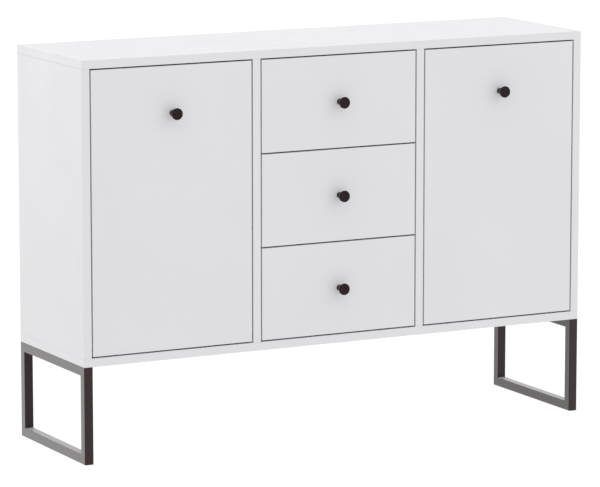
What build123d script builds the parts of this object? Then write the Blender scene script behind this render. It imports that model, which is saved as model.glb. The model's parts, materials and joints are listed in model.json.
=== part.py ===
from build123d import *
from math import asin, degrees, hypot
import os

# A sideboard with two doors, three drawers and two welded leg frames, in millimetres.
# +X is to the right, +Y to the back, +Z up. The origin is on the floor, under the middle
# of the whole object's depth, knobs included.

# ---- Overall sizes ----
WIDTH = 1200.0
DEPTH = 330.0                 # carcass, front edges to rear edges
LEG_HEIGHT = 207.0
CARCASS_HEIGHT = 641.0
KNOB_PROJECTION = 25.0

# ---- Boards ----
BOARD_T = 18.0                # top, bottom, sides, dividers
SHELF_T = 18.0
FRONT_T = 18.0                # doors and drawer fronts
BACK_T = 3.0
BOARD_EDGE_R = 0.6
FRONT_EDGE_R = 1.0
FRONT_GAP = 3.0               # between neighbouring fronts, and from front to carcass
REBATE_W = 9.0                # back panel's hold in the boards around it

# ---- Leg frames ----
TUBE_SIZE = 20.0
TUBE_WALL = 1.5
TUBE_CORNER_R = 1.5
LEG_SCREW_INSET = 60.0        # from the frame's front and rear faces
LEG_SCREW_COVER = 4.0         # board left over the screws' ends
TUBE_INNER_R = 0.4            # least radius of the tube's inner corners
ACCESS_HOLE_R = 5.5

# ---- Shelves ----
SHELF_SIDE_CLEARANCE = 0.6
SHELF_FRONT_CLEARANCE = 2.5   # behind the sweep of the doors' hinge edges
SHELF_REAR_CLEARANCE = 2.0
PIN_R = 2.5
PIN_IN = 9.0
PIN_OUT = 8.0
PIN_PITCH = 32.0
PIN_ROW_HALF = 2              # spare holes above and below the used one
PIN_INSET = 75.0              # from the carcass front and rear faces

# ---- Carcass fittings ----
CAM_R = 7.5
CAM_DEPTH = 12.5
CAM_BACKSET = 24.0            # from a board's end to the cam's centre
CAM_INSET = 48.0              # from the carcass front and rear faces
CAM_SLOT = (2.4, 1.4)         # twice the depth, and width
CAM_BOLT_R = 3.0
CAM_BOLT_IN = 11.0            # depth in the board it is screwed into
DOWEL_R = 4.0
DOWEL_IN = 11.0
DOWEL_OUT = 19.0
DOWEL_INSET = 84.0
NAIL_R = 0.8
NAIL_HEAD_R = 2.2
NAIL_HEAD_T = 0.7
NAIL_LENGTH = 20.0

# ---- Knobs ----
KNOB_HEAD_R = 12.5
KNOB_HEAD_T = 4.0
KNOB_RIM_R = 0.8
KNOB_BASE_R = 6.5
KNOB_BASE_T = 1.5
KNOB_WAIST_R = 5.6
KNOB_SCREW_R = 2.0
KNOB_SCREW_CLEARANCE = 0.25
KNOB_THREAD_DEPTH = 9.0
KNOB_SCREW_HOLD = 8.0

# ---- Hinges: u is measured from the door's hinge edge, v from its front face ----
HINGE_INSET = 100.0           # from the door's ends to the hinges
PIVOT_U = 28.0
PIVOT_V = 9.5
HINGE_PIN_R = 1.5
HINGE_PIN_CLEARANCE = 0.05
HINGE_PIN_HALF = 14.3
CUP_U = 22.0
CUP_R = 17.5
CUP_BELOW_PIVOT = 4.0         # from the hinge axis to the cup's underside
CUP_WALL = 0.8
CUP_RIM = 1.0                 # flange past the cup's bore
CUP_EAR_R = 6.5
CUP_FLANGE_T = 1.0
CUP_SCREW_SPACING = 48.0
CUP_SCREW_LENGTH = 12.0
LUG_IN = 9.2                  # nearest the arm
LUG_OUT = 14.6
LUG_HALF_W = 3.0
ARM_HALF_H = 8.5
ARM_T = 2.6
ARM_ANGLE = 56.0
ARM_END_ANGLE = 120.0
ARM_ELBOW = 4.0               # the outer arc ends this much earlier than the inner one
ARM_DOOR_CLEARANCE = 1.15     # from the arm's arc to the sweep of the door's edge
ARM_HEEL = (1.0, 0.5)         # rear of the plate's front end: outer and inner bends
ARM_BOSS_R = 2.8
ARM_REACH = 95.0              # v of the arm's rear end
PLATE_T = 2.0
PLATE_V = 45.0
PLATE_SCREW_V = 55.0
PLATE_SCREW_SPACING = 32.0
PLATE_SCREW_IN = 11.0         # depth in the side panel
PLATE_WING = (7.0, 8.0)       # margins about the screws along the depth and the height
ARM_SCREW_V = 82.0
ARM_SCREW_IN = 4.0

# ---- Catches ----
CATCH_DROP = 50.0             # from the bay's top to the catch's centre
CATCH_SIZE = (14.0, 16.0, 40.0)
CATCH_GAP = 0.4
CATCH_EDGE_R = 1.5
CATCH_SCREW_OFFSET = 12.0     # from the catch's centre to its two screws
CATCH_SCREW_IN = 8.0          # depth in the divider
CATCH_SINK = (4.0, 4.2)       # depth and radius of the holes for the screws' heads
STRIKE_SIZE = (12.0, 1.0, 34.0)
STRIKE_SCREW_LENGTH = 12.0

# ---- Drawers ----
DRAWER_COUNT = 3
DRAWER_SIDE_T = 12.0
DRAWER_LIFT = 15.0            # drawer box's bottom above its front's bottom
DRAWER_TOP_CLEARANCE = 34.0   # from the box's top to its front's top
DRAWER_REAR_CLEARANCE = 6.0   # from the box to the back panel
DRAWER_BOTTOM_T = 3.0
DRAWER_BOTTOM_UP = 10.0
GROOVE_DEPTH = 6.0
DRAWER_CAM_R = 6.0
DRAWER_CAM_DEPTH = 9.0
DRAWER_CAM_INSET = 25.0       # from the sides' lower and upper edges
DRAWER_BOLT_R = 2.5
DRAWER_BOLT_IN = 9.0
DRAWER_BACK_SCREW_INSET = 25.0
DRAWER_BACK_SCREW_LENGTH = 32.0

# ---- Drawer slides: s is measured from the cabinet wall towards the drawer ----
SLIDE_SPACE = 12.7
SLIDE_SETBACK = 3.0           # behind the drawer front's rear face
SLIDE_T = 1.2
SLIDE_UP = 55.0               # slide's centre above the drawer box's bottom
CABINET_HALF_H = 22.5
CABINET_FLANGE = 9.6
MIDDLE_HALF_H = 17.6
MIDDLE_WEB = 2.6
MIDDLE_FLANGE = 10.6
DRAWER_HALF_H = 12.5
DRAWER_FLANGE = 5.5
RETAINER_LENGTH = 80.0
RETAINER_CLEARANCE = 0.4
RETAINER_INSET = 1.0          # inside the channels' open edges
SLIDE_SCREWS = (20.0, 180.0)  # from the slide's front end
SLIDE_SCREW_IN = (10.0, 9.0)  # depth in the divider, and in the drawer's side

# ---- Screws and bores; a screw is (shank radius, head radius, head height) ----
BORE_OVERRUN = 1.0            # how far a bore runs past the face it opens in
WOOD_SCREW = (1.75, 3.5, 2.0)
FLAT_SCREW = (1.75, 3.5, 0.9)
MACHINE_SCREW = (KNOB_SCREW_R, 4.0, 2.4)

# ---- Places worked out from the sizes ----
Y_FRONT = KNOB_PROJECTION - (DEPTH + KNOB_PROJECTION) / 2
Y_REAR = Y_FRONT + DEPTH
Y_BACK = Y_REAR - BACK_T                      # back panel's front face
Y_INSIDE = Y_FRONT + FRONT_T                  # rear faces of doors and drawer fronts
X_SIDE = WIDTH / 2
X_INNER = X_SIDE - BOARD_T                    # side panels' inner faces
Z_FLOOR = LEG_HEIGHT + BOARD_T                # bottom panel's upper face
Z_CEILING = LEG_HEIGHT + CARCASS_HEIGHT - BOARD_T
Z_TOP = LEG_HEIGHT + CARCASS_HEIGHT
BAY_WIDTH = (2 * X_INNER - 2 * BOARD_T) / 3
X_DIVIDER = BAY_WIDTH / 2                     # dividers' faces towards the drawers
X_DIVIDER_OUT = X_DIVIDER + BOARD_T           # dividers' faces towards the doors
DOOR_W = BAY_WIDTH - 2 * FRONT_GAP
DOOR_Z0 = Z_FLOOR + FRONT_GAP
DOOR_Z1 = Z_CEILING - FRONT_GAP
DRAWER_H = (Z_CEILING - Z_FLOOR - (DRAWER_COUNT + 1) * FRONT_GAP) / DRAWER_COUNT
DRAWER_PITCH = DRAWER_H + FRONT_GAP
DOOR_X0 = -X_INNER + FRONT_GAP                # left door's hinge edge
DOOR_X = DOOR_X0 + DOOR_W / 2                 # left door's middle
KNOB_Z = DOOR_Z1 - DRAWER_H / 2               # level with the top drawer's middle
SHELF_Z = (Z_FLOOR + Z_CEILING - SHELF_T) / 2
PIN_Z = SHELF_Z - PIN_R
X_BOX = X_DIVIDER - SLIDE_SPACE               # drawer box's outer half width
Y_SLIDE = Y_INSIDE + SLIDE_SETBACK
HINGE_HEIGHTS = (DOOR_Z0 + HINGE_INSET, DOOR_Z1 - HINGE_INSET)
HINGE_SWEEP = hypot(PIVOT_U, max(PIVOT_V, FRONT_T - PIVOT_V))
SHELF_SETBACK = PIVOT_V + HINGE_SWEEP + SHELF_FRONT_CLEARANCE
ARM_RING_R = HINGE_SWEEP + ARM_DOOR_CLEARANCE + ARM_T / 2
CUP_DEPTH = FRONT_T - PIVOT_V + CUP_BELOW_PIVOT
CATCH_Z = Z_CEILING - CATCH_DROP
CATCH_Y = Y_INSIDE + STRIKE_SIZE[1] + CATCH_GAP
DRAWER_LENGTH = Y_BACK - Y_INSIDE - DRAWER_REAR_CLEARANCE
DRAWER_SIDE_H = DRAWER_H - DRAWER_LIFT - DRAWER_TOP_CLEARANCE
DRAWER_CAM_HEIGHTS = (DRAWER_CAM_INSET, DRAWER_SIDE_H - DRAWER_CAM_INSET)
DRAWER_BACK_SCREW_HEIGHTS = (DRAWER_BACK_SCREW_INSET, DRAWER_SIDE_H - DRAWER_BACK_SCREW_INSET)
SLIDE_LENGTH = DRAWER_LENGTH - SLIDE_SETBACK


# ---- Shared shapes ----
def block(x, y, z):
    """A box between the two values given for each axis."""
    middle = [(low + high) / 2 for low, high in (x, y, z)]
    size = [abs(high - low) for low, high in (x, y, z)]
    return Pos(*middle) * Box(*size)


def rod(start, direction, length, radius):
    """A round bar that leaves start in the given direction."""
    return Solid.make_cylinder(radius, length, Plane(origin=start, z_dir=direction))


def board(x, y, z, edge_r=BOARD_EDGE_R):
    """A laminated board with all its edges slightly rounded."""
    plain = block(x, y, z)
    return fillet(plain.edges(), edge_r)


def front_board(x, z):
    """A door or drawer front: only the edges of its front face are rounded."""
    plain = block(x, (Y_FRONT, Y_INSIDE), z)
    return fillet(plain.faces().sort_by(Axis.Y)[0].edges(), FRONT_EDGE_R)


def screw(seat, direction, length, kind):
    """A cross-head screw whose head rests on seat and whose shank runs in the given direction."""
    shank_r, head_r, head_h = kind
    place = Plane(origin=seat, z_dir=direction)
    head = Pos(0, 0, -head_h / 2) * Cylinder(head_r, head_h)
    head = fillet(head.edges().sort_by(Axis.Z)[0], head_h * 0.45)
    shank = Pos(0, 0, length / 2) * Cylinder(shank_r, length)
    slot = Pos(0, 0, -head_h) * Box(head_r, head_r / 5, head_h)
    cross = slot + Rot(0, 0, 90) * slot
    return place.location * (head + shank - cross)


def reaches(piece, other):
    """Whether the boxes around two shapes meet."""
    a, b = piece.bounding_box(), other.bounding_box()
    return all(low < high for low, high in zip([*a.min, *b.min], [*b.max, *a.max]))


def cut_for(body, pieces):
    """The body with room made for every piece that goes into it."""
    near = [piece for piece in pieces if reaches(body, piece)]
    return body - near if near else body


def both_sides(pieces):
    """The pieces and their mirror images on the other side of the middle."""
    return list(pieces) + [mirror(piece, about=Plane.YZ) for piece in pieces]


def save(name, *shapes):
    """Writes the solids of one node."""
    solids = [solid for shape in shapes for solid in shape.solids()]
    export_step(Compound(solids), f"parts/{name}.step")


# ---- Carcass fittings ----
def upright_inner_faces():
    """Each upright's face that its cams are in: (x of the face, direction into the board)."""
    return [(-X_INNER, -1), (X_INNER, 1), (-X_DIVIDER_OUT, 1), (X_DIVIDER_OUT, -1)]


def cam_places():
    """(x of the board's middle, x of its cam face, inward direction, y, end height, upward)."""
    for face_x, inward in upright_inner_faces():
        for y in (Y_FRONT + CAM_INSET, Y_REAR - CAM_INSET):
            for end_z, up in ((Z_FLOOR, 1), (Z_CEILING, -1)):
                yield face_x + inward * BOARD_T / 2, face_x, inward, y, end_z, up


def cam_bolts():
    """Bolts screwed into the top and bottom panels, with their heads in the cams."""
    bolts = []
    for middle_x, _, _, y, end_z, up in cam_places():
        length = CAM_BOLT_IN + CAM_BACKSET
        bolts.append(rod((middle_x, y, end_z - up * CAM_BOLT_IN), (0, 0, up), length, CAM_BOLT_R))
    return bolts


def cam_bores():
    """The bores that the cams turn in, as the plain discs that fill them."""
    return [
        rod((face_x, y, end_z + up * CAM_BACKSET), (inward, 0, 0), CAM_DEPTH, CAM_R)
        for _, face_x, inward, y, end_z, up in cam_places()
    ]


def cross_slot(centre, radius):
    """A cross recess, in a face square to X, for turning a cam of the given radius."""
    slot = Box(CAM_SLOT[0], radius, CAM_SLOT[1]) + Box(CAM_SLOT[0], CAM_SLOT[1], radius)
    return Pos(*centre) * slot


def cam_locks(bolts):
    """Round cams with a cross slot, each turned onto the head of its bolt."""
    cams = []
    for bore, (_, face_x, _, y, end_z, up) in zip(cam_bores(), cam_places()):
        slot = cross_slot((face_x, y, end_z + up * CAM_BACKSET), CAM_R)
        cams.append(cut_for(bore - slot, bolts))
    return cams


def carcass_dowels():
    """Beech dowels between the uprights and the top and bottom panels."""
    dowels = []
    for face_x, inward in upright_inner_faces():
        for y in (Y_FRONT + DOWEL_INSET, Y_REAR - DOWEL_INSET):
            for end_z, up in ((Z_FLOOR, 1), (Z_CEILING, -1)):
                start = (face_x + inward * BOARD_T / 2, y, end_z - up * DOWEL_IN)
                dowels.append(rod(start, (0, 0, up), DOWEL_IN + DOWEL_OUT, DOWEL_R))
    return dowels


def back_panel_nails():
    """Nails through the back panel into every board's rear edge."""
    edge = BOARD_T - REBATE_W / 2             # from a board's outer face to the nails in it
    places = []
    for share in (-0.9, -0.6, -0.3, 0.0, 0.3, 0.6, 0.9):
        places += [(share * X_INNER, Z_TOP - edge), (share * X_INNER, LEG_HEIGHT + edge)]
    for share in (0.2, 0.4, 0.6, 0.8):
        z = Z_FLOOR + share * (Z_CEILING - Z_FLOOR)
        divider = X_DIVIDER + BOARD_T / 2
        places += [(x, z) for x in (-X_SIDE + edge, -divider, divider, X_SIDE - edge)]
    nails = []
    for x, z in places:
        shank = rod((x, Y_REAR, z), (0, -1, 0), NAIL_LENGTH, NAIL_R)
        head = rod((x, Y_REAR, z), (0, -1, 0), NAIL_HEAD_T, NAIL_HEAD_R)
        nails.append(shank + head)
    return nails


def leg_frame_screws():
    """Screws up through each frame's top bar into the bottom panel."""
    x = X_SIDE - TUBE_SIZE / 2
    ys = (Y_FRONT + LEG_SCREW_INSET, Y_REAR - LEG_SCREW_INSET)
    length = TUBE_WALL + BOARD_T - LEG_SCREW_COVER
    seats = [(-x, y, LEG_HEIGHT - TUBE_WALL) for y in ys]
    return both_sides([screw(seat, (0, 0, 1), length, WOOD_SCREW) for seat in seats])


# ---- Shelf pins ----
def pin_rows():
    """(x of the wall, direction out of it, y) for each row of pin holes in the left bay."""
    for y in (Y_FRONT + PIN_INSET, Y_REAR - PIN_INSET):
        yield -X_INNER, 1, y
        yield -X_DIVIDER_OUT, -1, y


def shelf_pins():
    """Four pins under each shelf."""
    return both_sides([
        rod((x - out * PIN_IN, y, PIN_Z), (out, 0, 0), PIN_IN + PIN_OUT, PIN_R)
        for x, out, y in pin_rows()
    ])


def pin_holes():
    """The spare holes above and below each pin, as the rods that would fill them."""
    return both_sides([
        rod((x - out * PIN_IN, y, PIN_Z + step * PIN_PITCH), (out, 0, 0), PIN_IN + BORE_OVERRUN, PIN_R)
        for x, out, y in pin_rows()
        for step in range(-PIN_ROW_HALF, PIN_ROW_HALF + 1)
        if step != 0
    ])


# ---- Hinges, made for the left door and mirrored for the right ----
def at_hinge(shape, z):
    """A shape drawn about the hinge axis, moved to its place on the left door."""
    return Pos(DOOR_X0 + PIVOT_U, Y_FRONT + PIVOT_V, z) * shape


def arm_outline():
    """The gooseneck arm from above: boss, stub out of the cup, arc round the door's edge, tail."""
    half = ARM_T / 2
    inner, outer = ARM_RING_R - half, ARM_RING_R + half
    start_far = ARM_ANGLE - degrees(asin(half / outer))
    start_near = ARM_ANGLE + degrees(asin(half / inner))
    boss_half = degrees(asin(half / ARM_BOSS_R))
    boss = CenterArc((0, 0), ARM_BOSS_R, ARM_ANGLE + boss_half, 360 - 2 * boss_half)
    far = CenterArc((0, 0), outer, start_far, ARM_END_ANGLE - ARM_ELBOW - start_far)
    near = CenterArc((0, 0), inner, start_near, ARM_END_ANGLE - start_near)
    wall = -PIVOT_U - FRONT_GAP + PLATE_T     # tail's face on the mounting plate
    bend = PLATE_V - PIVOT_V
    end = ARM_REACH - PIVOT_V
    tail = Polyline(
        far @ 1,
        (wall + ARM_T, bend + ARM_HEEL[0]),
        (wall + ARM_T, end),
        (wall, end),
        (wall, bend - ARM_HEEL[1]),
        near @ 1,
    )
    stub = [Line(near @ 0, boss @ 0), Line(boss @ 1, far @ 0)]
    return make_face([far, tail, near, boss, *stub]) - Circle(HINGE_PIN_R + HINGE_PIN_CLEARANCE)


def hinge_arm(z):
    """One fixed arm, with a running fit on its pin."""
    return at_hinge(extrude(arm_outline(), ARM_HALF_H, both=True), z)


def mounting_plate(z):
    """The plate between the arm's tail and the side panel, with a wing for its two screws."""
    x = (-X_INNER, -X_INNER + PLATE_T)
    tongue = block(x, (Y_FRONT + PLATE_V, Y_FRONT + ARM_REACH), (z - ARM_HALF_H, z + ARM_HALF_H))
    middle = Y_FRONT + PLATE_SCREW_V
    reach = PLATE_SCREW_SPACING / 2 + PLATE_WING[1]
    wing = block(x, (middle - PLATE_WING[0], middle + PLATE_WING[0]), (z - reach, z + reach))
    return tongue + wing


def plate_screws(z):
    """Two screws in the plate's wing and one through the arm's tail."""
    face = -X_INNER + PLATE_T
    screws = []
    for offset in (-PLATE_SCREW_SPACING / 2, PLATE_SCREW_SPACING / 2):
        seat = (face, Y_FRONT + PLATE_SCREW_V, z + offset)
        screws.append(screw(seat, (-1, 0, 0), PLATE_T + PLATE_SCREW_IN, WOOD_SCREW))
    seat = (face + ARM_T, Y_FRONT + ARM_SCREW_V, z)
    screws.append(screw(seat, (-1, 0, 0), ARM_T + PLATE_T + ARM_SCREW_IN, WOOD_SCREW))
    return screws


def hinge_pin(z):
    """The pin, held in the cup's lugs."""
    return at_hinge(rod((0, 0, -HINGE_PIN_HALF), (0, 0, 1), 2 * HINGE_PIN_HALF, HINGE_PIN_R), z)


def cup_outside(z):
    """The cup's outer cylinder, as the bore in the door."""
    centre = (DOOR_X0 + CUP_U, Y_INSIDE, z)
    return rod(centre, (0, -1, 0), CUP_DEPTH, CUP_R)


def hinge_cup(z):
    """A pressed cup with a flange on the door's rear face and two lugs for the pin."""
    x = DOOR_X0 + CUP_U
    rear = Y_INSIDE + CUP_FLANGE_T
    flange = rod((x, Y_INSIDE, z), (0, 1, 0), CUP_FLANGE_T, CUP_R + CUP_RIM)
    ear = CUP_SCREW_SPACING / 2
    plate = block((x - CUP_EAR_R, x + CUP_EAR_R), (Y_INSIDE, rear), (z - ear, z + ear))
    ears = [rod((x, Y_INSIDE, z + end), (0, 1, 0), CUP_FLANGE_T, CUP_EAR_R) for end in (-ear, ear)]
    shell = cup_outside(z) + flange + plate + ears[0] + ears[1]
    hollow_depth = CUP_DEPTH - CUP_WALL + CUP_FLANGE_T
    cavity = rod((x, rear, z), (0, -1, 0), hollow_depth, CUP_R - CUP_WALL)
    floor_y = Y_INSIDE - CUP_DEPTH + CUP_WALL / 2
    pivot_x, pivot_y = DOOR_X0 + PIVOT_U, Y_FRONT + PIVOT_V
    cup = shell - cavity
    for side in (-1, 1):
        lug = block(
            (pivot_x - LUG_HALF_W, pivot_x + LUG_HALF_W),
            (floor_y, pivot_y + LUG_HALF_W),
            (z + side * LUG_IN, z + side * LUG_OUT),
        )
        cup = cup + (lug & cup_outside(z))
    return cup - hinge_pin(z)


def cup_screws(z):
    """Two screws through the cup's ears into the door."""
    x, y = DOOR_X0 + CUP_U, Y_INSIDE + CUP_FLANGE_T
    return [
        screw((x, y, z + offset), (0, -1, 0), CUP_SCREW_LENGTH, WOOD_SCREW)
        for offset in (-CUP_SCREW_SPACING / 2, CUP_SCREW_SPACING / 2)
    ]


# ---- Catches, made for the left bay ----
def catch_screws():
    """Two screws that hold the catch to the divider."""
    y = CATCH_Y + CATCH_SIZE[1] / 2
    x = -X_DIVIDER_OUT - CATCH_SIZE[0] + CATCH_SINK[0]
    length = CATCH_SIZE[0] - CATCH_SINK[0] + CATCH_SCREW_IN
    return [
        screw((x, y, CATCH_Z + offset), (1, 0, 0), length, WOOD_SCREW)
        for offset in (-CATCH_SCREW_OFFSET, CATCH_SCREW_OFFSET)
    ]


def magnetic_catch():
    """A moulded block with a magnet between two pole plates in its front face."""
    x = (-X_DIVIDER_OUT - CATCH_SIZE[0], -X_DIVIDER_OUT)
    z = (CATCH_Z - CATCH_SIZE[2] / 2, CATCH_Z + CATCH_SIZE[2] / 2)
    body = block(x, (CATCH_Y, CATCH_Y + CATCH_SIZE[1]), z)
    body = fillet(body.faces().sort_by(Axis.X)[0].edges(), CATCH_EDGE_R)
    y = CATCH_Y + CATCH_SIZE[1] / 2
    sinks = [
        rod((x[0], y, CATCH_Z + offset), (1, 0, 0), *CATCH_SINK)
        for offset in (-CATCH_SCREW_OFFSET, CATCH_SCREW_OFFSET)
    ]
    return cut_for(body - sinks, catch_screws())


def strike_place():
    """The middle of the strike plate's rear face."""
    x = -X_DIVIDER_OUT - CATCH_SIZE[0] / 2
    return (x, Y_INSIDE + STRIKE_SIZE[1], CATCH_Z)


def strike_screw():
    """The screw in the middle of the strike plate, its head flush with the plate."""
    x, y, z = strike_place()
    return screw((x, y - FLAT_SCREW[2], z), (0, -1, 0), STRIKE_SCREW_LENGTH, FLAT_SCREW)


def strike_plate():
    """The steel plate on the door that the catch holds, counterbored for its screw's head."""
    x, y, z = strike_place()
    plate = Pos(x, y - STRIKE_SIZE[1] / 2, z) * Box(*STRIKE_SIZE)
    sink = rod((x, y, z), (0, -1, 0), FLAT_SCREW[2], FLAT_SCREW[1])
    return cut_for(plate - sink, [strike_screw()])


# ---- Knobs ----
def knob(x, z):
    """A turned knob: a waisted stem that flares into a flat round head."""
    neck = KNOB_PROJECTION - KNOB_HEAD_T
    profile = make_face([
        Line((0, 0), (KNOB_BASE_R, 0)),
        Line((KNOB_BASE_R, 0), (KNOB_BASE_R, -KNOB_BASE_T)),
        Spline(
            (KNOB_BASE_R, -KNOB_BASE_T),
            (KNOB_WAIST_R, -0.45 * neck),
            (KNOB_HEAD_R, -neck),
            tangents=((-0.3, -1.0), (1.0, -0.45)),
        ),
        Line((KNOB_HEAD_R, -neck), (KNOB_HEAD_R, -KNOB_PROJECTION)),
        Line((KNOB_HEAD_R, -KNOB_PROJECTION), (0, -KNOB_PROJECTION)),
        Line((0, -KNOB_PROJECTION), (0, 0)),
    ])
    turned = revolve(profile, Axis.Y)
    rim = turned.faces().sort_by(Axis.Y)[0].edges()
    turned = fillet(rim, KNOB_RIM_R)
    thread = rod((0, 0, 0), (0, -1, 0), KNOB_THREAD_DEPTH, KNOB_SCREW_R)
    return Pos(x, Y_FRONT, z) * (turned - thread)


def knob_screw(x, z):
    """The machine screw from the front's rear face into the knob."""
    return screw((x, Y_INSIDE, z), (0, -1, 0), FRONT_T + KNOB_SCREW_HOLD, MACHINE_SCREW)


def knob_hole(x, z):
    """The clearance hole for the knob's screw."""
    return rod((x, Y_INSIDE, z), (0, -1, 0), FRONT_T, KNOB_SCREW_R + KNOB_SCREW_CLEARANCE)


# ---- Drawer slides, made for the left of the lowest drawer at its place ----
def slide_box(s, h, length=(0.0, SLIDE_LENGTH), centre_z=0.0):
    """A box in the left slide: s from the divider, h from its centre line, y from its front."""
    x = (-X_DIVIDER + s[0], -X_DIVIDER + s[1])
    y = (Y_SLIDE + length[0], Y_SLIDE + length[1])
    return block(x, y, (centre_z + h[0], centre_z + h[1]))


def channel(web, flange_end, half_h, z):
    """A channel: a web and two flanges that run from it to flange_end."""
    web_part = slide_box(web, (-half_h, half_h), centre_z=z)
    span = (min(web[0], flange_end), max(web[1], flange_end))
    upper = slide_box(span, (half_h - SLIDE_T, half_h), centre_z=z)
    lower = slide_box(span, (-half_h, -half_h + SLIDE_T), centre_z=z)
    return web_part + upper + lower


def cabinet_member(z):
    """The member screwed to the divider."""
    return channel((0.0, SLIDE_T), CABINET_FLANGE, CABINET_HALF_H, z)


def middle_member(z):
    """The member that travels half as far as the drawer, with its ball retainers."""
    pieces = [channel((MIDDLE_WEB, MIDDLE_WEB + SLIDE_T), MIDDLE_FLANGE, MIDDLE_HALF_H, z)]
    outer = (MIDDLE_HALF_H, CABINET_HALF_H - SLIDE_T - RETAINER_CLEARANCE)
    inner = (DRAWER_HALF_H + RETAINER_CLEARANCE, MIDDLE_HALF_H - SLIDE_T)
    rear = (SLIDE_LENGTH - RETAINER_LENGTH, SLIDE_LENGTH)
    front = (0.0, RETAINER_LENGTH)
    for side in (-1, 1):
        rows = (side * outer[0], side * outer[1])
        pieces.append(slide_box((MIDDLE_WEB + SLIDE_T, CABINET_FLANGE - RETAINER_INSET), rows, rear, z))
        rows = (side * inner[0], side * inner[1])
        pieces.append(slide_box((DRAWER_FLANGE, MIDDLE_FLANGE - RETAINER_INSET), rows, front, z))
    return pieces


def drawer_member(z):
    """The member screwed to the drawer's side."""
    return channel((SLIDE_SPACE - SLIDE_T, SLIDE_SPACE), DRAWER_FLANGE, DRAWER_HALF_H, z)


def cabinet_slide_screws(z):
    """Screws through the cabinet member into the divider."""
    length = SLIDE_T + SLIDE_SCREW_IN[0]
    return [
        screw((-X_DIVIDER + SLIDE_T, Y_SLIDE + along, z), (-1, 0, 0), length, FLAT_SCREW)
        for along in SLIDE_SCREWS
    ]


def drawer_slide_screws(z):
    """Screws through the drawer member into the drawer's side."""
    length = SLIDE_T + SLIDE_SCREW_IN[1]
    return [
        screw((-X_BOX - SLIDE_T, Y_SLIDE + along, z), (1, 0, 0), length, FLAT_SCREW)
        for along in SLIDE_SCREWS
    ]


# ---- Drawers ----
def drawer_cams(z0):
    """(bolts, plain cam discs, slotted cams) for the left side of a drawer box standing at z0."""
    bolts, discs, cams = [], [], []
    for up in DRAWER_CAM_HEIGHTS:
        start = (-X_BOX + DRAWER_SIDE_T / 2, Y_INSIDE - DRAWER_BOLT_IN, z0 + up)
        bolt = rod(start, (0, 1, 0), DRAWER_BOLT_IN + CAM_BACKSET, DRAWER_BOLT_R)
        centre = (-X_BOX + DRAWER_SIDE_T, Y_INSIDE + CAM_BACKSET, z0 + up)
        disc = rod(centre, (-1, 0, 0), DRAWER_CAM_DEPTH, DRAWER_CAM_R)
        bolts.append(bolt)
        discs.append(disc)
        cams.append(disc - cross_slot(centre, DRAWER_CAM_R) - bolt)
    return bolts, discs, cams


def drawer_screws(z0):
    """Screws of a drawer box's left side: two into the back panel and two in the slide."""
    y = Y_INSIDE + DRAWER_LENGTH - DRAWER_SIDE_T / 2
    seats = [(-X_BOX + WOOD_SCREW[2], y, z0 + up) for up in DRAWER_BACK_SCREW_HEIGHTS]
    into_back = [screw(seat, (1, 0, 0), DRAWER_BACK_SCREW_LENGTH, WOOD_SCREW) for seat in seats]
    return into_back + drawer_slide_screws(z0 + SLIDE_UP)


def drawer_bottom(z0):
    """A thin panel in the grooves of the front and the sides."""
    x = X_BOX - DRAWER_SIDE_T + GROOVE_DEPTH
    y = (Y_INSIDE - GROOVE_DEPTH, Y_INSIDE + DRAWER_LENGTH)
    z = z0 + DRAWER_BOTTOM_UP
    return block((-x, x), y, (z, z + DRAWER_BOTTOM_T))


def save_drawer(number, front_z0):
    """All the nodes of one drawer; number 1 is the top one."""
    name = f"drawer_{number}"
    z0 = front_z0 + DRAWER_LIFT
    z1 = z0 + DRAWER_SIDE_H
    knob_z = front_z0 + DRAWER_H / 2
    bottom = drawer_bottom(z0)
    bolts, discs, cams = drawer_cams(z0)
    screws = drawer_screws(z0)
    fasteners = both_sides(bolts + screws)
    front = front_board((-DOOR_W / 2, DOOR_W / 2), (front_z0, front_z0 + DRAWER_H))
    front = cut_for(front, fasteners + [bottom, knob_hole(0, knob_z)])
    inner_x = X_BOX - DRAWER_SIDE_T
    y = (Y_INSIDE, Y_INSIDE + DRAWER_LENGTH)
    side = block((-X_BOX, -inner_x), y, (z0, z1))
    sinks = [
        rod((-X_BOX, y[1] - DRAWER_SIDE_T / 2, z0 + up), (1, 0, 0), WOOD_SCREW[2], WOOD_SCREW[1])
        for up in DRAWER_BACK_SCREW_HEIGHTS
    ]
    left = cut_for(side, bolts + discs + screws + sinks + [bottom])
    back_z0 = z0 + DRAWER_BOTTOM_UP + DRAWER_BOTTOM_T
    back = block((-inner_x, inner_x), (y[1] - DRAWER_SIDE_T, y[1]), (back_z0, z1))
    slide_z = z0 + SLIDE_UP
    save(f"{name}_front", front)
    save(f"{name}_left_side", left)
    save(f"{name}_right_side", mirror(left, about=Plane.YZ))
    save(f"{name}_back", cut_for(back, fasteners))
    save(f"{name}_bottom", bottom)
    save(f"{name}_knob", knob(0, knob_z))
    save(f"{name}_fittings", *fasteners, *both_sides(cams), knob_screw(0, knob_z))
    inner_members = cut_for(drawer_member(slide_z), drawer_slide_screws(slide_z))
    save(f"{name}_slide_drawer_members", *both_sides([inner_members]))
    save(f"{name}_slide_middle_members", *both_sides(middle_member(slide_z)))


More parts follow.
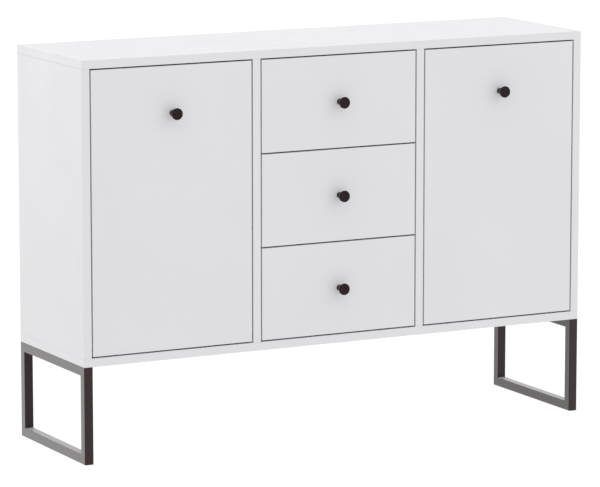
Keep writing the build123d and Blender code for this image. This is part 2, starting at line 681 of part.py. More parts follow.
# ---- Doors ----
def save_door(name, side):
    """All the nodes of one door; side is 1 for the left door and -1 for its mirror image."""
    def placed(shapes):
        return list(shapes) if side == 1 else [mirror(shape, about=Plane.YZ) for shape in shapes]

    screws = [piece for z in HINGE_HEIGHTS for piece in cup_screws(z)]
    screws.append(strike_screw())
    panel = front_board((DOOR_X0, DOOR_X0 + DOOR_W), (DOOR_Z0, DOOR_Z1))
    cups = [hinge_cup(z) for z in HINGE_HEIGHTS]
    bores = [cup_outside(z) for z in HINGE_HEIGHTS]
    panel = cut_for(panel, bores + screws + [knob_hole(DOOR_X, KNOB_Z)])
    save(f"{name}_panel", *placed([panel]))
    save(f"{name}_knob", *placed([knob(DOOR_X, KNOB_Z)]))
    save(f"{name}_hinge_cups", *placed([cut_for(cup, screws) for cup in cups]))
    save(f"{name}_hinge_pins", *placed([hinge_pin(z) for z in HINGE_HEIGHTS]))
    save(f"{name}_strike_plate", *placed([strike_plate()]))
    save(f"{name}_screws", *placed(screws + [knob_screw(DOOR_X, KNOB_Z)]))


# ---- Leg frames ----
def frame_tube(start, end, inner_corners):
    """One square tube from start to end, mitred so that it meets its neighbours at 45 degrees."""
    start, end = Vector(*start), Vector(*end)
    place = Plane(origin=start, x_dir=(1, 0, 0), z_dir=end - start)
    outside = RectangleRounded(TUBE_SIZE, TUBE_SIZE, TUBE_CORNER_R)
    inside_r = max(TUBE_CORNER_R - TUBE_WALL, TUBE_INNER_R)
    inside = RectangleRounded(TUBE_SIZE - 2 * TUBE_WALL, TUBE_SIZE - 2 * TUBE_WALL, inside_r)
    tube = extrude(place * (outside - inside), (end - start).length)
    for corner, normal in inner_corners:
        tube = split(tube, bisect_by=Plane(origin=corner, z_dir=normal), keep=Keep.TOP)
    return tube


def left_leg_frame():
    """A closed loop of four tubes, standing on the floor and flush with the carcass."""
    half = TUBE_SIZE / 2
    x = -X_SIDE + half
    y = (Y_FRONT, Y_REAR)
    z = (0.0, LEG_HEIGHT)
    corners = {(i, j): (x, y[i], z[j]) for i in (0, 1) for j in (0, 1)}
    tubes = []
    for j, up in ((0, 1), (1, -1)):
        level = z[j] + up * half
        mitres = [(corners[0, j], (0, 1, -up)), (corners[1, j], (0, -1, -up))]
        tubes.append(frame_tube((x, y[0], level), (x, y[1], level), mitres))
    for i, inward in ((0, 1), (1, -1)):
        line = y[i] + inward * half
        mitres = [(corners[i, 0], (0, -inward, 1)), (corners[i, 1], (0, -inward, -1))]
        tubes.append(frame_tube((x, line, z[0]), (x, line, z[1]), mitres))
    for screw_y in (Y_FRONT + LEG_SCREW_INSET, Y_REAR - LEG_SCREW_INSET):
        low = LEG_HEIGHT - TUBE_SIZE
        drill = TUBE_WALL + 2 * BORE_OVERRUN
        access = rod((x, screw_y, low - BORE_OVERRUN), (0, 0, 1), drill, ACCESS_HOLE_R)
        hole = rod((x, screw_y, LEG_HEIGHT - TUBE_WALL), (0, 0, 1), TUBE_WALL, WOOD_SCREW[0])
        tubes[1] = tubes[1] - access - hole
    return tubes


# ---- The whole sideboard ----
def slide_height(number):
    """Centre height of one drawer's slides; number 1 is the top drawer."""
    return drawer_front_z0(number) + DRAWER_LIFT + SLIDE_UP


def drawer_front_z0(number):
    """Lower edge of one drawer's front; number 1 is the top drawer."""
    return Z_FLOOR + FRONT_GAP + (DRAWER_COUNT - number) * DRAWER_PITCH


def save_carcass():
    """The boards, their fittings and the fixed halves of the hinges, slides and catches."""
    numbers = range(1, DRAWER_COUNT + 1)
    bolts = cam_bolts()
    cams = cam_locks(bolts)
    dowels = carcass_dowels()
    nails = back_panel_nails()
    pins = shelf_pins()
    leg_screws = leg_frame_screws()
    slide_screws = [piece for n in numbers for piece in cabinet_slide_screws(slide_height(n))]
    hinge_screws = [piece for z in HINGE_HEIGHTS for piece in plate_screws(z)]
    screws = leg_screws + both_sides(slide_screws + hinge_screws + catch_screws())
    inside = cam_bores() + bolts + dowels + nails + pins + pin_holes() + screws
    back = block(
        (-X_INNER - REBATE_W, X_INNER + REBATE_W),
        (Y_BACK, Y_REAR),
        (Z_FLOOR - REBATE_W, Z_CEILING + REBATE_W),
    )
    y = (Y_FRONT, Y_REAR)
    side = board((-X_SIDE, -X_INNER), y, (Z_FLOOR, Z_CEILING))
    divider = board((-X_DIVIDER_OUT, -X_DIVIDER), (Y_FRONT, Y_BACK), (Z_FLOOR, Z_CEILING))
    top = board((-X_SIDE, X_SIDE), y, (Z_CEILING, Z_TOP))
    bottom = board((-X_SIDE, X_SIDE), y, (LEG_HEIGHT, Z_FLOOR))
    left_side = cut_for(side - back, inside)
    left_divider = cut_for(divider, inside)
    shelf = board(
        (-X_INNER + SHELF_SIDE_CLEARANCE, -X_DIVIDER_OUT - SHELF_SIDE_CLEARANCE),
        (Y_FRONT + SHELF_SETBACK, Y_BACK - SHELF_REAR_CLEARANCE),
        (SHELF_Z, SHELF_Z + SHELF_T),
    )
    save("top_panel", cut_for(top - back, inside))
    save("bottom_panel", cut_for(bottom - back, inside))
    save("left_side_panel", left_side)
    save("right_side_panel", mirror(left_side, about=Plane.YZ))
    save("left_divider", left_divider)
    save("right_divider", mirror(left_divider, about=Plane.YZ))
    save("back_panel", cut_for(back, nails))
    save("back_panel_nails", *nails)
    save("left_shelf", shelf)
    save("right_shelf", mirror(shelf, about=Plane.YZ))
    save("shelf_pins", *pins)
    save("cam_bolts", *bolts)
    save("cam_locks", *cams)
    save("dowels", *dowels)
    frame = left_leg_frame()
    save("left_leg_frame", *frame)
    save("right_leg_frame", *[mirror(tube, about=Plane.YZ) for tube in frame])
    arms = [cut_for(hinge_arm(z), hinge_screws) for z in HINGE_HEIGHTS]
    plates = [cut_for(mounting_plate(z), hinge_screws) for z in HINGE_HEIGHTS]
    members = [cut_for(cabinet_member(slide_height(n)), slide_screws) for n in numbers]
    save("hinge_arms", *both_sides(arms))
    save("hinge_mounting_plates", *both_sides(plates))
    save("slide_cabinet_members", *both_sides(members))
    save("magnetic_catches", *both_sides([magnetic_catch()]))
    save("carcass_screws", *screws)


os.makedirs("parts", exist_ok=True)
save_carcass()
save_door("left_door", 1)
save_door("right_door", -1)
for drawer_number in range(1, DRAWER_COUNT + 1):
    save_drawer(drawer_number, drawer_front_z0(drawer_number))
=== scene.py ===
"""The looks of a white sideboard with turned knobs and welded loop legs.

The boards, fronts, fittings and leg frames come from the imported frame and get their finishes
here. The knobs and the welds of the leg frames are made here, and so is the studio.
"""

import json
import math

import bpy
import numpy as np
from bpy.props import FloatProperty, FloatVectorProperty, IntProperty, PointerProperty
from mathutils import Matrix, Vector


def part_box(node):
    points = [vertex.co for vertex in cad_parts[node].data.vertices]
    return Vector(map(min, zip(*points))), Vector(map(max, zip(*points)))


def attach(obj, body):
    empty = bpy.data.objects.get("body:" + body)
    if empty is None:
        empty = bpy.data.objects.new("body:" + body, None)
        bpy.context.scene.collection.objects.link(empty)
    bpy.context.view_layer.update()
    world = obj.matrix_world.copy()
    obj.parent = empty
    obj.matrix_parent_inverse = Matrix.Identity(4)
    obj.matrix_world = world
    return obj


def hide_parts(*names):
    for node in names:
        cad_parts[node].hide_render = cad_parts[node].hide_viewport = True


bl_info = {
    "name": "Sideboard Buffet",
    "version": (1, 0, 0),
    "blender": (4, 5, 0),
    "location": "3D View > Sidebar > Sideboard",
    "description": "Finishes, knobs, welds and studio for a white sideboard with loop legs",
    "category": "Object",
}

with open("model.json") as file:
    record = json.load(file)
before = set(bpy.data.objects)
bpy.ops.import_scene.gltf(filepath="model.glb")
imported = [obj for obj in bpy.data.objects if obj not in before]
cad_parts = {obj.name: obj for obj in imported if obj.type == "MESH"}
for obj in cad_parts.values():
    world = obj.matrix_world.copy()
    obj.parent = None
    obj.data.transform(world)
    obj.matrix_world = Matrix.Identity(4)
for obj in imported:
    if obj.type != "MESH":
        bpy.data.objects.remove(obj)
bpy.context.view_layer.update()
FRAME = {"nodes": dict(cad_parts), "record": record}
NODES = FRAME["nodes"]
SLOT_OF = {part["node"]: part["material_slot"] for part in FRAME["record"]["subparts"]}
BODY_OF = {
    node: body
    for body, members in FRAME["record"]["behaviour"]["bodies"].items()
    for node in members
}
KNOB_NODES = sorted(name for name in NODES if name.endswith("_knob"))
LEG_NODES = ("left_leg_frame", "right_leg_frame")
KNOB_LOW, KNOB_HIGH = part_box(KNOB_NODES[0])
LEG_LOW, LEG_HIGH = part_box(LEG_NODES[0])
MM = 0.001


# ---- Meshes ----
def mesh_object(name, points, faces, uvs=None):
    """A smooth-shaded mesh object at the origin; uvs holds one (u, v) for each point."""
    mesh = bpy.data.meshes.new(name)
    mesh.from_pydata(points.tolist(), [], faces)
    mesh.update()
    mesh.shade_smooth()
    if uvs is not None:
        layer = mesh.uv_layers.new(name="Surface")
        corners = np.empty(len(mesh.loops), np.int32)
        mesh.loops.foreach_get("vertex_index", corners)
        layer.uv.foreach_set("vector", uvs[corners].astype(np.float32).ravel())
    piece = bpy.data.objects.new(name, mesh)
    bpy.context.scene.collection.objects.link(piece)
    return piece


def grid_faces(rows, columns, offset=0):
    """Quads of a grid of points whose columns close on themselves, numbered row by row."""
    row = np.arange(rows - 1)[:, None] * columns + offset
    column = np.arange(columns)[None, :]
    after = (column + 1) % columns
    low = (row + column, row + after)
    high = (row + columns + after, row + columns + column)
    return np.stack([*low, *high], -1).reshape(-1, 4)


def turned_points(radii, heights, around):
    """Points of a turned surface about +Z: radius r and height h swept through a whole turn,
    so that a point is (r cos a, r sin a, h), with a pole point at each end of the profile."""
    angle = np.linspace(0.0, 2.0 * np.pi, around, endpoint=False)
    ring = np.stack([
        radii[:, None] * np.cos(angle),
        radii[:, None] * np.sin(angle),
        np.broadcast_to(heights[:, None], (len(radii), around)),
    ], -1).reshape(-1, 3)
    poles = np.array([[0.0, 0.0, heights[0]], [0.0, 0.0, heights[-1]]])
    return np.vstack([ring, poles])


def turned_faces(rows, around):
    """Faces of a turned surface: quads between the rings and a fan of triangles at each pole."""
    first, last = rows * around, rows * around + 1
    column = np.arange(around)
    after = (column + 1) % around
    low = np.stack([np.full(around, first), after, column], -1)
    base = (rows - 1) * around
    high = np.stack([np.full(around, last), base + column, base + after], -1)
    return grid_faces(rows, around).tolist() + low.tolist() + high.tolist()


# ---- Node helpers ----
# sockets of a colour Mix node, whose names are shared with its other data types
MIX_A, MIX_B, MIX_RESULT = 6, 7, 2


def coordinates(tree, stretch=(1.0, 1.0, 1.0), source="Object"):
    """Object or UV coordinates, stretched along each axis."""
    place = tree.nodes.new("ShaderNodeTexCoord")
    mapping = tree.nodes.new("ShaderNodeMapping")
    mapping.inputs["Scale"].default_value = stretch
    tree.links.new(place.outputs[source], mapping.inputs["Vector"])
    return mapping.outputs["Vector"]


def noise(tree, vector, size, detail=3.0, roughness=0.5):
    """Noise whose features measure about the given size, in metres on Object coordinates."""
    node = tree.nodes.new("ShaderNodeTexNoise")
    node.inputs["Scale"].default_value = 1.0 / size
    node.inputs["Detail"].default_value = detail
    node.inputs["Roughness"].default_value = roughness
    tree.links.new(vector, node.inputs["Vector"])
    return node.outputs["Fac"]


def ranged(tree, value, low, high, start=0.3, end=0.7):
    """The value mapped from start..end to low..high."""
    node = tree.nodes.new("ShaderNodeMapRange")
    tree.links.new(value, node.inputs["Value"])
    limits = {"From Min": start, "From Max": end, "To Min": low, "To Max": high}
    for socket, number in limits.items():
        node.inputs[socket].default_value = number
    return node.outputs["Result"]


def blended(tree, factor, colour_a, colour_b):
    """A colour between two, by factor."""
    node = tree.nodes.new("ShaderNodeMix")
    node.data_type = "RGBA"
    tree.links.new(factor, node.inputs["Factor"])
    node.inputs[MIX_A].default_value = (*colour_a, 1.0)
    node.inputs[MIX_B].default_value = (*colour_b, 1.0)
    return node.outputs[MIX_RESULT]


def flecked(tree, factor, colour, shade):
    """A colour multiplied by a shade, by factor."""
    node = tree.nodes.new("ShaderNodeMix")
    node.data_type = "RGBA"
    node.blend_type = "MULTIPLY"
    tree.links.new(factor, node.inputs["Factor"])
    tree.links.new(colour, node.inputs[MIX_A])
    node.inputs[MIX_B].default_value = (*shade, 1.0)
    return node.outputs[MIX_RESULT]


def bump(tree, height, distance, strength, normal=None):
    """A bump normal from a height, laid over an earlier one."""
    node = tree.nodes.new("ShaderNodeBump")
    node.inputs["Strength"].default_value = strength
    node.inputs["Distance"].default_value = distance
    tree.links.new(height, node.inputs["Height"])
    if normal is not None:
        tree.links.new(normal, node.inputs["Normal"])
    return node.outputs["Normal"]


def blank_material(name, metallic=0.0, specular=0.5):
    """A material with its shader's even values set on the shader itself."""
    material = bpy.data.materials.new(name)
    material.use_nodes = True
    shader = material.node_tree.nodes["Principled BSDF"]
    shader.inputs["Metallic"].default_value = metallic
    shader.inputs["Specular IOR Level"].default_value = specular
    return material, material.node_tree, shader


def tint(colour, factor):
    """A colour made lighter or darker."""
    return tuple(min(1.0, channel * factor) for channel in colour)


def wire(tree, shader, colour, roughness, normal):
    """Joins the three worked-out inputs to the shader."""
    tree.links.new(colour, shader.inputs["Base Color"])
    tree.links.new(roughness, shader.inputs["Roughness"])
    tree.links.new(normal, shader.inputs["Normal"])


# ---- Finishes ----
LACQUER_SHADE = (0.93, 0.925, 0.9)      # the hardboard's lacquer against the laminate
BRONZE_COAT_IOR = 1.17
BRONZE_COAT_ROUGHNESS = 0.1
BRONZE_SHEEN_ROUGHNESS = 0.5


def laminate_finish(settings):
    """White melamine: a faint cloudy tone, a fine pearl texture and a satin sheen that varies."""
    material, tree, shader = blank_material("White melamine laminate", specular=0.42)
    place = coordinates(tree)
    white = tuple(settings.laminate_colour)
    cloud = noise(tree, place, 0.22, detail=4.0)
    speck = noise(tree, place, 1.6 * MM, detail=2.0)
    tone = blended(tree, ranged(tree, cloud, 0.0, 1.0), tint(white, 0.985), tint(white, 1.01))
    specks = ranged(tree, speck, 0.0, 0.35, 0.35, 0.75)
    tone = flecked(tree, specks, tone, (0.955, 0.955, 0.955))
    gloss = ranged(tree, noise(tree, place, 0.09), 0.36, 0.46)
    pearl = noise(tree, place, settings.laminate_grain, detail=2.0, roughness=0.6)
    ripple = noise(tree, place, 14.0 * MM, detail=2.0)
    normal = bump(tree, ripple, 0.02 * MM, 0.35)
    normal = bump(tree, pearl, 0.03 * MM, 0.5, normal)
    wire(tree, shader, tone, gloss, normal)
    return material


def hardboard_finish(settings):
    """Thin hardboard with a rolled white lacquer: flecked fibres show faintly through it."""
    material, tree, shader = blank_material("Lacquered hardboard", specular=0.3)
    place = coordinates(tree)
    white = tuple(np.array(settings.laminate_colour) * LACQUER_SHADE)
    along = coordinates(tree, (1.0, 1.0, 0.25))
    fibre = noise(tree, along, 1.8 * MM, detail=5.0, roughness=0.65)
    cloud = noise(tree, place, 0.12, detail=3.0)
    tone = blended(tree, ranged(tree, cloud, 0.0, 1.0), tint(white, 0.985), white)
    fibres = ranged(tree, fibre, 0.0, 0.7, 0.4, 0.72)
    tone = flecked(tree, fibres, tone, (0.90, 0.885, 0.86))
    gloss = ranged(tree, fibre, 0.5, 0.68)
    wire(tree, shader, tone, gloss, bump(tree, fibre, 0.05 * MM, 0.6))
    return material


def bronze_finish(settings, name, colour, sheen, lathe=False):
    """Dark bronze-brown coating that pales at a glancing look: orange-peel skin, and on turned
    pieces fine rings left by the lathe."""
    material, tree, shader = blank_material(name, specular=0.0)
    shader.inputs["Coat Weight"].default_value = 1.0
    shader.inputs["Coat Roughness"].default_value = BRONZE_COAT_ROUGHNESS
    shader.inputs["Coat IOR"].default_value = BRONZE_COAT_IOR
    shader.inputs["Sheen Weight"].default_value = sheen
    shader.inputs["Sheen Roughness"].default_value = BRONZE_SHEEN_ROUGHNESS
    place = coordinates(tree)
    brown = tuple(colour)
    cloud = noise(tree, place, 0.05, detail=4.0)
    tone = blended(tree, ranged(tree, cloud, 0.0, 1.0), tint(brown, 0.88), tint(brown, 1.12))
    gloss = settings.metal_roughness
    peel = noise(tree, place, 1.1 * MM, detail=2.0)
    rough = ranged(tree, noise(tree, place, 7.0 * MM), gloss - 0.05, gloss + 0.06)
    normal = bump(tree, peel, 0.03 * MM, 0.45)
    if lathe:
        rings = noise(tree, coordinates(tree, (0.0, 1.0, 1.0), "UV"), 0.012, detail=3.0)
        normal = bump(tree, rings, 0.02 * MM, 0.5, normal)
    tree.links.new(normal, shader.inputs["Coat Normal"])
    wire(tree, shader, tone, rough, normal)
    return material


def zinc_finish():
    """Bright zinc plate: a pale grey metal with a spangled tone and a slightly brushed gloss."""
    material, tree, shader = blank_material("Bright zinc plate", metallic=1.0)
    place = coordinates(tree)
    spangle = noise(tree, place, 3.0 * MM, detail=4.0, roughness=0.6)
    tone = blended(tree, ranged(tree, spangle, 0.0, 1.0), (0.55, 0.55, 0.56), (0.72, 0.72, 0.71))
    rough = ranged(tree, noise(tree, place, 1.2 * MM), 0.24, 0.38)
    wire(tree, shader, tone, rough, bump(tree, spangle, 0.03 * MM, 0.35))
    return material


def rolled_steel_finish():
    """Zinc-plated rolled strip: fine streaks along the way that it was rolled."""
    material, tree, shader = blank_material("Rolled slide steel", metallic=1.0)
    along = coordinates(tree, (1.0, 0.03, 1.0))
    streak = noise(tree, along, 0.9 * MM, detail=4.0, roughness=0.6)
    tone = blended(tree, ranged(tree, streak, 0.0, 1.0), (0.5, 0.51, 0.53), (0.68, 0.69, 0.7))
    rough = ranged(tree, streak, 0.26, 0.42)
    wire(tree, shader, tone, rough, bump(tree, streak, 0.03 * MM, 0.4))
    return material


def beech_finish():
    """Beech dowel: fine fibres along the dowel."""
    material, tree, shader = blank_material("Beech", specular=0.3)
    fibre = noise(tree, coordinates(tree, (1.0, 1.0, 0.06)), 0.8 * MM, detail=5.0)
    tone = blended(tree, ranged(tree, fibre, 0.0, 1.0), (0.5, 0.33, 0.18), (0.68, 0.5, 0.32))
    wire(tree, shader, tone, ranged(tree, fibre, 0.5, 0.65), bump(tree, fibre, 0.05 * MM, 0.6))
    return material


def moulded_finish():
    """Moulded white plastic: a fine spark-eroded skin."""
    material, tree, shader = blank_material("Moulded white plastic", specular=0.5)
    place = coordinates(tree)
    skin = noise(tree, place, 0.5 * MM, detail=3.0)
    cloud = noise(tree, place, 0.02)
    tone = blended(tree, ranged(tree, cloud, 0.0, 1.0), (0.74, 0.74, 0.72), (0.79, 0.79, 0.77))
    wire(tree, shader, tone, ranged(tree, skin, 0.38, 0.5), bump(tree, skin, 0.03 * MM, 0.5))
    return material


def give_finish(slot, material):
    """Puts one material on every frame node of a material slot."""
    for name, node in NODES.items():
        if SLOT_OF[name] == slot:
            node.data.materials.clear()
            node.data.materials.append(material)


def floor_finish(settings):
    """Pale matt floor, lit from below like a light table, with a faint unevenness."""
    material, tree, shader = blank_material("Pale floor", specular=0.0)
    shader.inputs["Emission Color"].default_value = (1.0, 1.0, 1.0, 1.0)
    shader.inputs["Emission Strength"].default_value = settings.floor_glow
    pale = tuple(settings.floor_colour)
    cloud = noise(tree, coordinates(tree), 0.6, detail=3.0)
    tone = blended(tree, ranged(tree, cloud, 0.0, 1.0), tint(pale, 0.995), pale)
    wire(tree, shader, tone, ranged(tree, cloud, 0.75, 0.85), bump(tree, cloud, 0.1 * MM, 0.1))
    return material


# ---- Settings ----
class SideboardSettings(bpy.types.PropertyGroup):
    """Colours and sizes of the finishes and of the pieces made here."""

    laminate_colour: FloatVectorProperty(
        name="Laminate", description="Colour of the boards", subtype="COLOR",
        default=(0.668, 0.668, 0.684), min=0.0, max=1.0,
    )
    laminate_grain: FloatProperty(
        name="Laminate grain", description="Size of the pearl texture", unit="LENGTH",
        default=0.7 * MM, min=0.1 * MM, max=5.0 * MM, precision=5,
    )
    metal_colour: FloatVectorProperty(
        name="Bronze", description="Colour of the leg frames", subtype="COLOR",
        default=(0.012, 0.0008, 0.0014), min=0.0, max=1.0,
    )
    knob_colour: FloatVectorProperty(
        name="Knob bronze", description="Colour of the knobs", subtype="COLOR",
        default=(0.0165, 0.009, 0.0093), min=0.0, max=1.0,
    )
    metal_roughness: FloatProperty(
        name="Bronze roughness", description="Roughness of the legs and knobs",
        default=0.33, min=0.05, max=1.0,
    )
    leg_sheen: FloatProperty(
        name="Leg sheen", description="How far the legs pale at a glancing look",
        default=0.86, min=0.0, max=1.0,
    )
    knob_sheen: FloatProperty(
        name="Knob sheen", description="How far the knobs pale at a glancing look",
        default=0.12, min=0.0, max=1.0,
    )
    knob_radius: FloatProperty(
        name="Knob radius", description="Radius of a knob's head", unit="LENGTH",
        default=(KNOB_HIGH.x - KNOB_LOW.x) / 2,
    )
    knob_length: FloatProperty(
        name="Knob length", description="From the front to the knob's face", unit="LENGTH",
        default=KNOB_HIGH.y - KNOB_LOW.y,
    )
    knob_around: IntProperty(
        name="Knob segments", description="Points round a knob", default=96, min=12,
    )
    tube_size: FloatProperty(
        name="Tube", description="Width of the leg tube", unit="LENGTH",
        default=LEG_HIGH.x - LEG_LOW.x,
    )
    weld_radius: FloatProperty(
        name="Weld", description="Leg length of the fillet welds", unit="LENGTH",
        default=1.1 * MM,
    )
    floor_colour: FloatVectorProperty(
        name="Floor", description="Colour of the floor", subtype="COLOR",
        default=(0.12, 0.12, 0.12), min=0.0, max=1.0,
    )
    floor_glow: FloatProperty(
        name="Floor glow", description="Brightness of the light under the floor",
        default=0.94, min=0.0,
    )
    world_level: FloatProperty(
        name="Surround", description="Brightness of the surround", default=1.0, min=0.0,
    )


class SideboardOperator(bpy.types.Operator):
    """Shared by the operators of the sideboard."""

    bl_options = {"REGISTER", "UNDO"}

    def execute(self, context):
        self.make(context.scene.sideboard)
        return {"FINISHED"}


class SIDEBOARD_OT_boards(SideboardOperator):
    """Finish the laminated boards, the thin hardboard panels and the dowels"""

    bl_idname = "sideboard.boards"
    bl_label = "Boards"

    def make(self, settings):
        give_finish("white_laminate", laminate_finish(settings))
        give_finish("white_hdf", hardboard_finish(settings))
        give_finish("dowel_wood", beech_finish())


class SIDEBOARD_OT_hardware(SideboardOperator):
    """Finish the hinges, slides, screws, fittings and catches"""

    bl_idname = "sideboard.hardware"
    bl_label = "Hardware"

    def make(self, settings):
        give_finish("zinc_steel", zinc_finish())
        give_finish("slide_steel", rolled_steel_finish())
        give_finish("white_plastic", moulded_finish())


FOOT_SHARE = 0.52            # of the knob's radius
WAIST_SHARE = 0.45           # of the knob's radius
RIM_SHARE = 0.16             # of the knob's length
FOOT_LENGTH = 1.6 * MM
FOOT_EDGE = 0.4 * MM
RIM_EDGE = 0.9 * MM
FACE_DISH = 0.25 * MM
FLARE_POWER = 2.6
WAIST_END = 0.7              # share of the stem along which it is waisted
STEM_STEPS = 40
EDGE_STEPS = 7
FACE_SHARES = (0.98, 0.04)   # the face's outer and inner rings, as shares of its radius
FACE_STEPS = 16


def knob_profile(radius, length):
    """Radius and height along a knob, from its base to its face: a short foot with a bevelled
    edge, a stem whose radius grows with a power of the height less a half sine for its waist, a
    rim with two rounded edges, and a face dished by a parabola."""
    foot, waist = FOOT_SHARE * radius, WAIST_SHARE * radius
    rim, edge = RIM_SHARE * length, RIM_EDGE
    turn = np.linspace(0.0, np.pi / 2, EDGE_STEPS)
    foot_r = np.array([foot - FOOT_EDGE, foot, foot])
    foot_h = np.array([0.0, FOOT_EDGE, FOOT_LENGTH])
    share = np.linspace(0.0, 1.0, STEM_STEPS)[1:]
    neck = length - rim - FOOT_LENGTH
    flare = share ** FLARE_POWER
    dip = np.sin(np.pi * np.clip(share / WAIST_END, 0.0, 1.0)) * (foot - waist)
    stem_r = foot + (radius - edge - foot) * flare - dip * (1.0 - flare)
    stem_h = FOOT_LENGTH + neck * share
    low_r = radius - edge + edge * np.sin(turn)
    low_h = length - rim + edge * (1.0 - np.cos(turn))
    high_r = radius - edge + edge * np.cos(turn)
    high_h = length - edge + edge * np.sin(turn)
    face_share = np.linspace(*FACE_SHARES, FACE_STEPS)
    face_r = (radius - edge) * face_share
    face_h = length - FACE_DISH * (1.0 - face_share ** 2)
    radii = np.concatenate([foot_r, stem_r, low_r[1:], high_r, face_r])
    heights = np.concatenate([foot_h, stem_h, low_h[1:], high_h, face_h])
    return radii, heights


class SIDEBOARD_OT_knobs(SideboardOperator):
    """Turn the knobs and put them in the places that the frame gives"""

    bl_idname = "sideboard.knobs"
    bl_label = "Knobs"

    def make(self, settings):
        material = bronze_finish(
            settings, "Turned bronze", settings.knob_colour, settings.knob_sheen, lathe=True
        )
        radii, heights = knob_profile(settings.knob_radius, settings.knob_length)
        around = settings.knob_around
        shape = turned_points(radii, heights, around)
        faces = turned_faces(len(radii), around)
        steps = np.hypot(np.diff(radii), np.diff(heights))
        travel = np.concatenate([[0.0], np.cumsum(steps)]) / np.sum(steps)
        angle = np.linspace(0.0, 1.0, around, endpoint=False)
        flat = np.stack(np.meshgrid(angle, travel), -1).reshape(-1, 2)
        flat = np.vstack([flat, [[0.0, 0.0], [0.0, 1.0]]])
        for name in KNOB_NODES:
            low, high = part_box(name)
            # the turning axis +Z becomes -Y, so that (x, y, z) goes to (x, -z, y)
            points = np.stack([shape[:, 0], -shape[:, 2], shape[:, 1]], -1)
            points += np.array([(low.x + high.x) / 2, high.y, (low.z + high.z) / 2])
            piece = mesh_object(f"turned_{name}", points, faces, flat)
            piece.data.materials.append(material)
            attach(piece, BODY_OF[name])
            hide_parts(name)


WELD_SECTIONS = 90
WELD_ARC_POINTS = 8
WELD_SCALES = 11             # overlapping scales along a weld
WELD_SCALE_DEPTH = 0.14      # share of the leg length that each scale loses
WELD_CROWN = 0.22            # how far the weld bulges past a flat fillet
WELD_TAPER = 14.0            # each tapered end takes up one part in this many
WELD_END_SHARE = 0.25        # least value of the taper, before its square root
WELD_MARGIN = 1.7 * MM       # from the tube's edge to the weld's end


def weld_points(length, radius):
    """A fillet weld along +X in the corner between -Y and -Z walls. Its section is the flat
    fillet y + z = leg, bulged by a share of sin 2a at the angle a about the corner. The leg
    length falls off along each of the overlapping scales, and with the square root of the
    distance towards the ends. The last point of each section is the corner itself."""
    along = np.linspace(0.0, 1.0, WELD_SECTIONS)
    scale = 1.0 - WELD_SCALE_DEPTH * ((WELD_SCALES * along) % 1.0)
    from_end = np.minimum(along, 1.0 - along)
    taper = np.sqrt(np.clip(from_end * WELD_TAPER, WELD_END_SHARE, 1.0))
    leg = (radius * scale * taper)[:, None]
    angle = np.linspace(0.0, np.pi / 2, WELD_ARC_POINTS)
    bow = (1.0 + WELD_CROWN * np.sin(2 * angle)) / (np.cos(angle) + np.sin(angle))
    arc_y, arc_z = leg * bow * np.cos(angle), leg * bow * np.sin(angle)
    y, z = (np.pad(side, ((0, 0), (0, 1))) for side in (arc_y, arc_z))
    x = np.broadcast_to((along[:, None] - 0.5) * length, y.shape)
    return np.stack([x, y, z], -1)


class SIDEBOARD_OT_legs(SideboardOperator):
    """Coat the leg frames and lay a weld in each inner corner"""

    bl_idname = "sideboard.legs"
    bl_label = "Leg frames"

    def make(self, settings):
        material = bronze_finish(
            settings, "Bronze powder coat", settings.metal_colour, settings.leg_sheen
        )
        give_finish("bronze_metal", material)
        bead = weld_points(settings.tube_size - 2 * WELD_MARGIN, settings.weld_radius)
        sections, columns = bead.shape[:2]
        count = sections * columns
        for name in LEG_NODES:
            low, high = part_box(name)
            middle = (low.x + high.x) / 2
            inner_y = (low.y + settings.tube_size, high.y - settings.tube_size)
            inner_z = (low.z + settings.tube_size, high.z - settings.tube_size)
            points, faces = [], []
            for i, side_y in enumerate((1.0, -1.0)):
                for j, side_z in enumerate((1.0, -1.0)):
                    corner = bead * np.array([1.0, side_y, side_z])
                    corner += np.array([middle, inner_y[i], inner_z[j]])
                    first = len(points) * count
                    points.append(corner.reshape(-1, 3))
                    caps = [
                        list(range(first, first + columns))[::-1],
                        list(range(first + count - columns, first + count)),
                    ]
                    shell = grid_faces(sections, columns, first).tolist() + caps
                    # one mirrored axis turns the faces inside out, so they are turned back
                    mirrored = side_y * side_z < 0
                    faces += [face[::-1] for face in shell] if mirrored else shell
            piece = mesh_object(f"{name}_welds", np.vstack(points), faces)
            piece.data.materials.append(material)
            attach(piece, BODY_OF[name])


# ---- Studio: places in metres, in the frame's own axes ----
CAMERA_PLACE = (-3.821, -7.269, 1.771)
CAMERA_YAW = math.radians(27.637)
CAMERA_PITCH = math.radians(9.478)
CAMERA_LENS = 229.96
CAMERA_CLIP_END = 200.0
FLOOR_HALF = 60.0
# name: (place, point that it faces, size, power in watts)
SOFTBOXES = {
    "Overhead": ((0.0, 0.4, 4.2), (0.0, 0.4, 0.0), 5.0, 45.0),
    "Right": ((2.6, -3.4, 3.2), (0.0, 0.0, 0.5), 2.0, 14.0),
    "Left": ((-2.6, 3.4, 0.85), (-0.5, 0.0, 0.3), 2.0, 15.0),
}


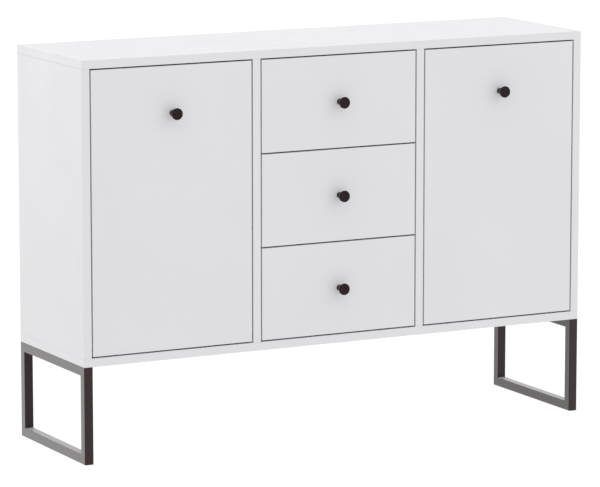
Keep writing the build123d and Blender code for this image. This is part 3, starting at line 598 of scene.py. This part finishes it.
class SIDEBOARD_OT_stage(SideboardOperator):
    """Set the floor, the surround, the soft lights and the camera"""

    bl_idname = "sideboard.stage"
    bl_label = "Stage"

    def make(self, settings):
        corners = np.array([[-1, -1, 0], [1, -1, 0], [1, 1, 0], [-1, 1, 0]]) * FLOOR_HALF
        floor = mesh_object("floor", corners, [[0, 1, 2, 3]])
        floor.data.materials.append(floor_finish(settings))
        world = bpy.data.worlds.new("Surround")
        world.use_nodes = True
        background = world.node_tree.nodes["Background"]
        background.inputs["Color"].default_value = (1.0, 1.0, 1.0, 1.0)
        background.inputs["Strength"].default_value = settings.world_level
        scene = bpy.context.scene
        scene.world = world
        scene.view_settings.view_transform = "Standard"
        for name, (place, target, size, power) in SOFTBOXES.items():
            light = bpy.data.lights.new(name, "AREA")
            light.shape = "SQUARE"
            light.size = size
            light.energy = power
            box = bpy.data.objects.new(name, light)
            box.location = place
            aim = Vector(target) - Vector(place)
            box.rotation_euler = aim.to_track_quat("-Z", "Y").to_euler()
            box.visible_camera = False
            scene.collection.objects.link(box)
        camera = bpy.data.objects.new("Camera", bpy.data.cameras.new("Camera"))
        camera.data.lens = CAMERA_LENS
        camera.data.clip_end = CAMERA_CLIP_END
        camera.location = CAMERA_PLACE
        camera.rotation_euler = (math.pi / 2 - CAMERA_PITCH, 0.0, -CAMERA_YAW)
        scene.collection.objects.link(camera)
        scene.camera = camera


class SIDEBOARD_PT_panel(bpy.types.Panel):
    """Lists the sizes, colours and operators of the sideboard"""

    bl_idname = "SIDEBOARD_PT_panel"
    bl_label = "Sideboard"
    bl_space_type = "VIEW_3D"
    bl_region_type = "UI"
    bl_category = "Sideboard"

    def draw(self, context):
        settings = context.scene.sideboard
        for name in SideboardSettings.__annotations__:
            self.layout.prop(settings, name)
        for operator in OPERATORS:
            self.layout.operator(operator.bl_idname)


OPERATORS = (
    SIDEBOARD_OT_boards,
    SIDEBOARD_OT_hardware,
    SIDEBOARD_OT_knobs,
    SIDEBOARD_OT_legs,
    SIDEBOARD_OT_stage,
)
CLASSES = (SideboardSettings, *OPERATORS, SIDEBOARD_PT_panel)


def register():
    for cls in CLASSES:
        bpy.utils.register_class(cls)
    bpy.types.Scene.sideboard = PointerProperty(type=SideboardSettings)


def unregister():
    del bpy.types.Scene.sideboard
    for cls in reversed(CLASSES):
        bpy.utils.unregister_class(cls)


def main():
    """Makes everything in order."""
    register()
    bpy.ops.sideboard.boards()
    bpy.ops.sideboard.hardware()
    bpy.ops.sideboard.knobs()
    bpy.ops.sideboard.legs()
    bpy.ops.sideboard.stage()


if __name__ == "__main__":
    main()
